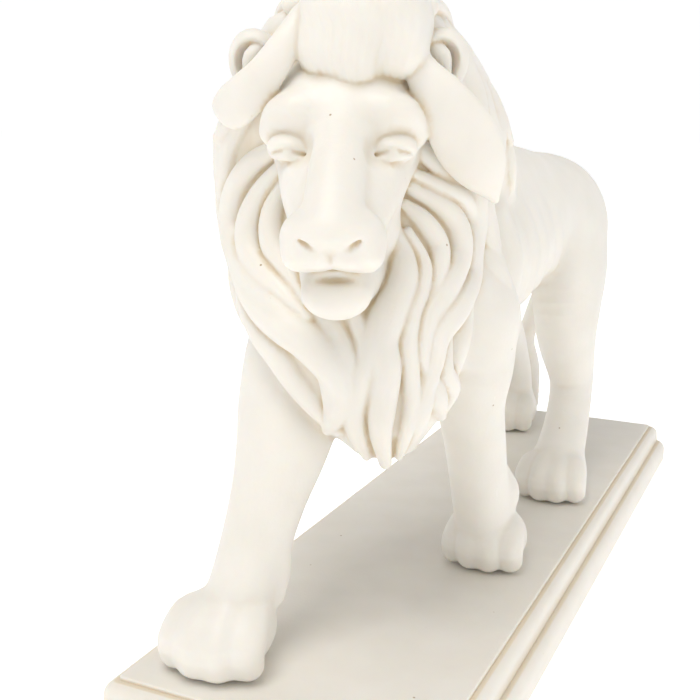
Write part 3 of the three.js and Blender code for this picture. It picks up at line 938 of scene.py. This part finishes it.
def cast_stone(name, pale):
    """Marble powder set in resin: waxy, a little see-through, grained and pitted, with warm painted shade
    in the creases.
    """
    finish = bpy.data.materials.new(name)
    finish.use_nodes = True
    nodes, links = finish.node_tree.nodes, finish.node_tree.links
    shader = nodes["Principled BSDF"]
    shader.inputs["Roughness"].default_value = 0.45
    shader.inputs["IOR"].default_value = 1.5
    shader.inputs["Specular IOR Level"].default_value = 0.4
    shader.inputs["Subsurface Weight"].default_value = 0.55
    shader.inputs["Subsurface Radius"].default_value = (1.0, 0.75, 0.5)
    shader.inputs["Subsurface Scale"].default_value = 0.0035
    place = nodes.new("ShaderNodeTexCoord")

    # Painted shade: creases are tinted towards the darker warm cream by how sharply they bend inward.
    shade_in_creases = nodes.new("ShaderNodeAttribute")
    shade_in_creases.attribute_name = "shade_in_creases"
    depth = nodes.new("ShaderNodeMapRange")
    depth.inputs["From Min"].default_value = 0.5
    depth.inputs["From Max"].default_value = 0.8
    links.new(shade_in_creases.outputs["Fac"], depth.inputs["Value"])
    painted_shade_mix = nodes.new("ShaderNodeMix")
    painted_shade_mix.data_type = "RGBA"
    painted_shade_mix.inputs["A"].default_value = pale
    painted_shade_mix.inputs["B"].default_value = CREASE_SHADE_CREAM
    links.new(depth.outputs["Result"], painted_shade_mix.inputs["Factor"])

    cloud = nodes.new("ShaderNodeTexNoise")
    cloud.inputs["Scale"].default_value = 55
    cloud.inputs["Detail"].default_value = 4
    links.new(place.outputs["Object"], cloud.inputs["Vector"])
    mottle = nodes.new("ShaderNodeMix")
    mottle.data_type = "RGBA"
    mottle.blend_type = "MULTIPLY"
    mottle.inputs["Factor"].default_value = 1
    shades = nodes.new("ShaderNodeValToRGB")
    shades.color_ramp.elements[0].position = 0.3
    shades.color_ramp.elements[0].color = (0.955, 0.95, 0.935, 1)
    shades.color_ramp.elements[1].position = 0.7
    shades.color_ramp.elements[1].color = (1, 1, 1, 1)
    links.new(cloud.outputs["Fac"], shades.inputs["Fac"])
    links.new(painted_shade_mix.outputs["Result"], mottle.inputs["A"])
    links.new(shades.outputs["Color"], mottle.inputs["B"])

    pits = nodes.new("ShaderNodeTexVoronoi")
    pits.inputs["Scale"].default_value = 60
    links.new(place.outputs["Object"], pits.inputs["Vector"])
    pit = nodes.new("ShaderNodeMapRange")
    pit.inputs["From Min"].default_value = 0.014
    pit.inputs["From Max"].default_value = 0.03
    links.new(pits.outputs["Distance"], pit.inputs["Value"])
    speck = nodes.new("ShaderNodeMix")
    speck.data_type = "RGBA"
    speck.inputs["A"].default_value = PIT_BROWN
    links.new(pit.outputs["Result"], speck.inputs["Factor"])
    links.new(mottle.outputs["Result"], speck.inputs["B"])
    links.new(speck.outputs["Result"], shader.inputs["Base Color"])

    grain = nodes.new("ShaderNodeTexNoise")
    grain.inputs["Scale"].default_value = 850
    grain.inputs["Detail"].default_value = 3
    links.new(place.outputs["Object"], grain.inputs["Vector"])
    bump = nodes.new("ShaderNodeBump")
    bump.inputs["Strength"].default_value = 0.16
    bump.inputs["Distance"].default_value = 0.0003
    links.new(grain.outputs["Fac"], bump.inputs["Height"])
    links.new(bump.outputs["Normal"], shader.inputs["Normal"])
    return finish


lion.data.materials.append(cast_stone(LION_SLOT, (0.83, 0.80, 0.74, 1)))
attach(lion, "root")
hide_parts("lion")

# ---- Plinth ----
# A separate casting of the same stuff: a flat slab with a small lip and two rounded bands round its edge.
# The mould's edges are eased, and the lion's paws are glued to its top.
TOP_WIDTH = 0.100
FOOT_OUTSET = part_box("plinth")[1][0] - TOP_WIDTH / 2
STEP_OUTSET = 0.0042
STEP_HEIGHT = 0.0105
BAND_HEIGHT = 0.0042
LIP_OUTSET = 0.0007
LIP_HEIGHT = PLINTH_TOP - 0.0012
BAND_INSET = 0.0002
FACE_INSET = 0.004
EASE = 0.0003
BAND_STEPS = 10
CORNER_RADIUS = 0.0012
CORNER_STEPS = 5


def quarter_band(outer, inner, low, high):
    """A quarter-round band of the moulding, from its foot to its top, as (outset, height)."""
    angles = [math.pi / 2 * i / BAND_STEPS for i in range(BAND_STEPS + 1)]
    return [(inner + (outer - inner) * math.cos(a), low + (high - low) * math.sin(a)) for a in angles]


profile = [(FOOT_OUTSET - EASE, 0), (FOOT_OUTSET, EASE)]
profile += quarter_band(FOOT_OUTSET, STEP_OUTSET, STEP_HEIGHT / 2, STEP_HEIGHT)
profile += quarter_band(STEP_OUTSET - BAND_INSET, LIP_OUTSET, LIP_HEIGHT - BAND_HEIGHT, LIP_HEIGHT)
profile += [(0, LIP_HEIGHT), (0, PLINTH_TOP - EASE), (-EASE, PLINTH_TOP), (-FACE_INSET, PLINTH_TOP)]
ring_points = []
for outset, height in profile:
    radius = max(CORNER_RADIUS, CORNER_RADIUS + outset * 0.3)
    half_width = TOP_WIDTH / 2 + outset - radius
    half_length = TOP_LENGTH / 2 + outset - radius
    for quarter, (sideways, along) in enumerate(((1, 1), (-1, 1), (-1, -1), (1, -1))):
        for i in range(CORNER_STEPS + 1):
            angle = math.pi / 2 * (quarter + i / CORNER_STEPS)
            x = sideways * half_width + radius * math.cos(angle)
            y = along * half_length + radius * math.sin(angle)
            ring_points.append((x, y, height))
around = 4 * (CORNER_STEPS + 1)
bands = []
for low in range(0, (len(profile) - 1) * around, around):
    for i in range(around):
        after = (i + 1) % around
        bands.append((low + i, low + after, low + around + after, low + around + i))
underside = tuple(reversed(range(around)))
top_face = tuple(range((len(profile) - 1) * around, len(profile) * around))
plinth_mesh = bpy.data.meshes.new("plinth_casting")
plinth_mesh.from_pydata(ring_points, [], bands + [underside, top_face])
plinth_mesh.polygons.foreach_set("use_smooth", [True] * len(plinth_mesh.polygons))
plinth_mesh.set_sharp_from_angle(angle=math.radians(35))
plinth = bpy.data.objects.new("plinth_casting", plinth_mesh)
bpy.context.collection.objects.link(plinth)
# Painted shade: the inner corners where the moulding bands meet are marked darker, as the shade that falls
# in them.
FLAT = 0.5
SEAM_SHADE = 0.72
seam_shade_layer = plinth_mesh.attributes.new("shade_in_creases", "FLOAT", "POINT")
seam_shade_values = [
    SEAM_SHADE if abs(height - STEP_HEIGHT) < 0.0004 or abs(height - LIP_HEIGHT) < 0.0002 else FLAT
    for _, height in profile
]
seam_shade_layer.data.foreach_set("value", [value for value in seam_shade_values for _ in range(around)])
plinth.data.materials.append(cast_stone("plinth_stone", (0.81, 0.775, 0.71, 1)))
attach(plinth, "root")
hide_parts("plinth")
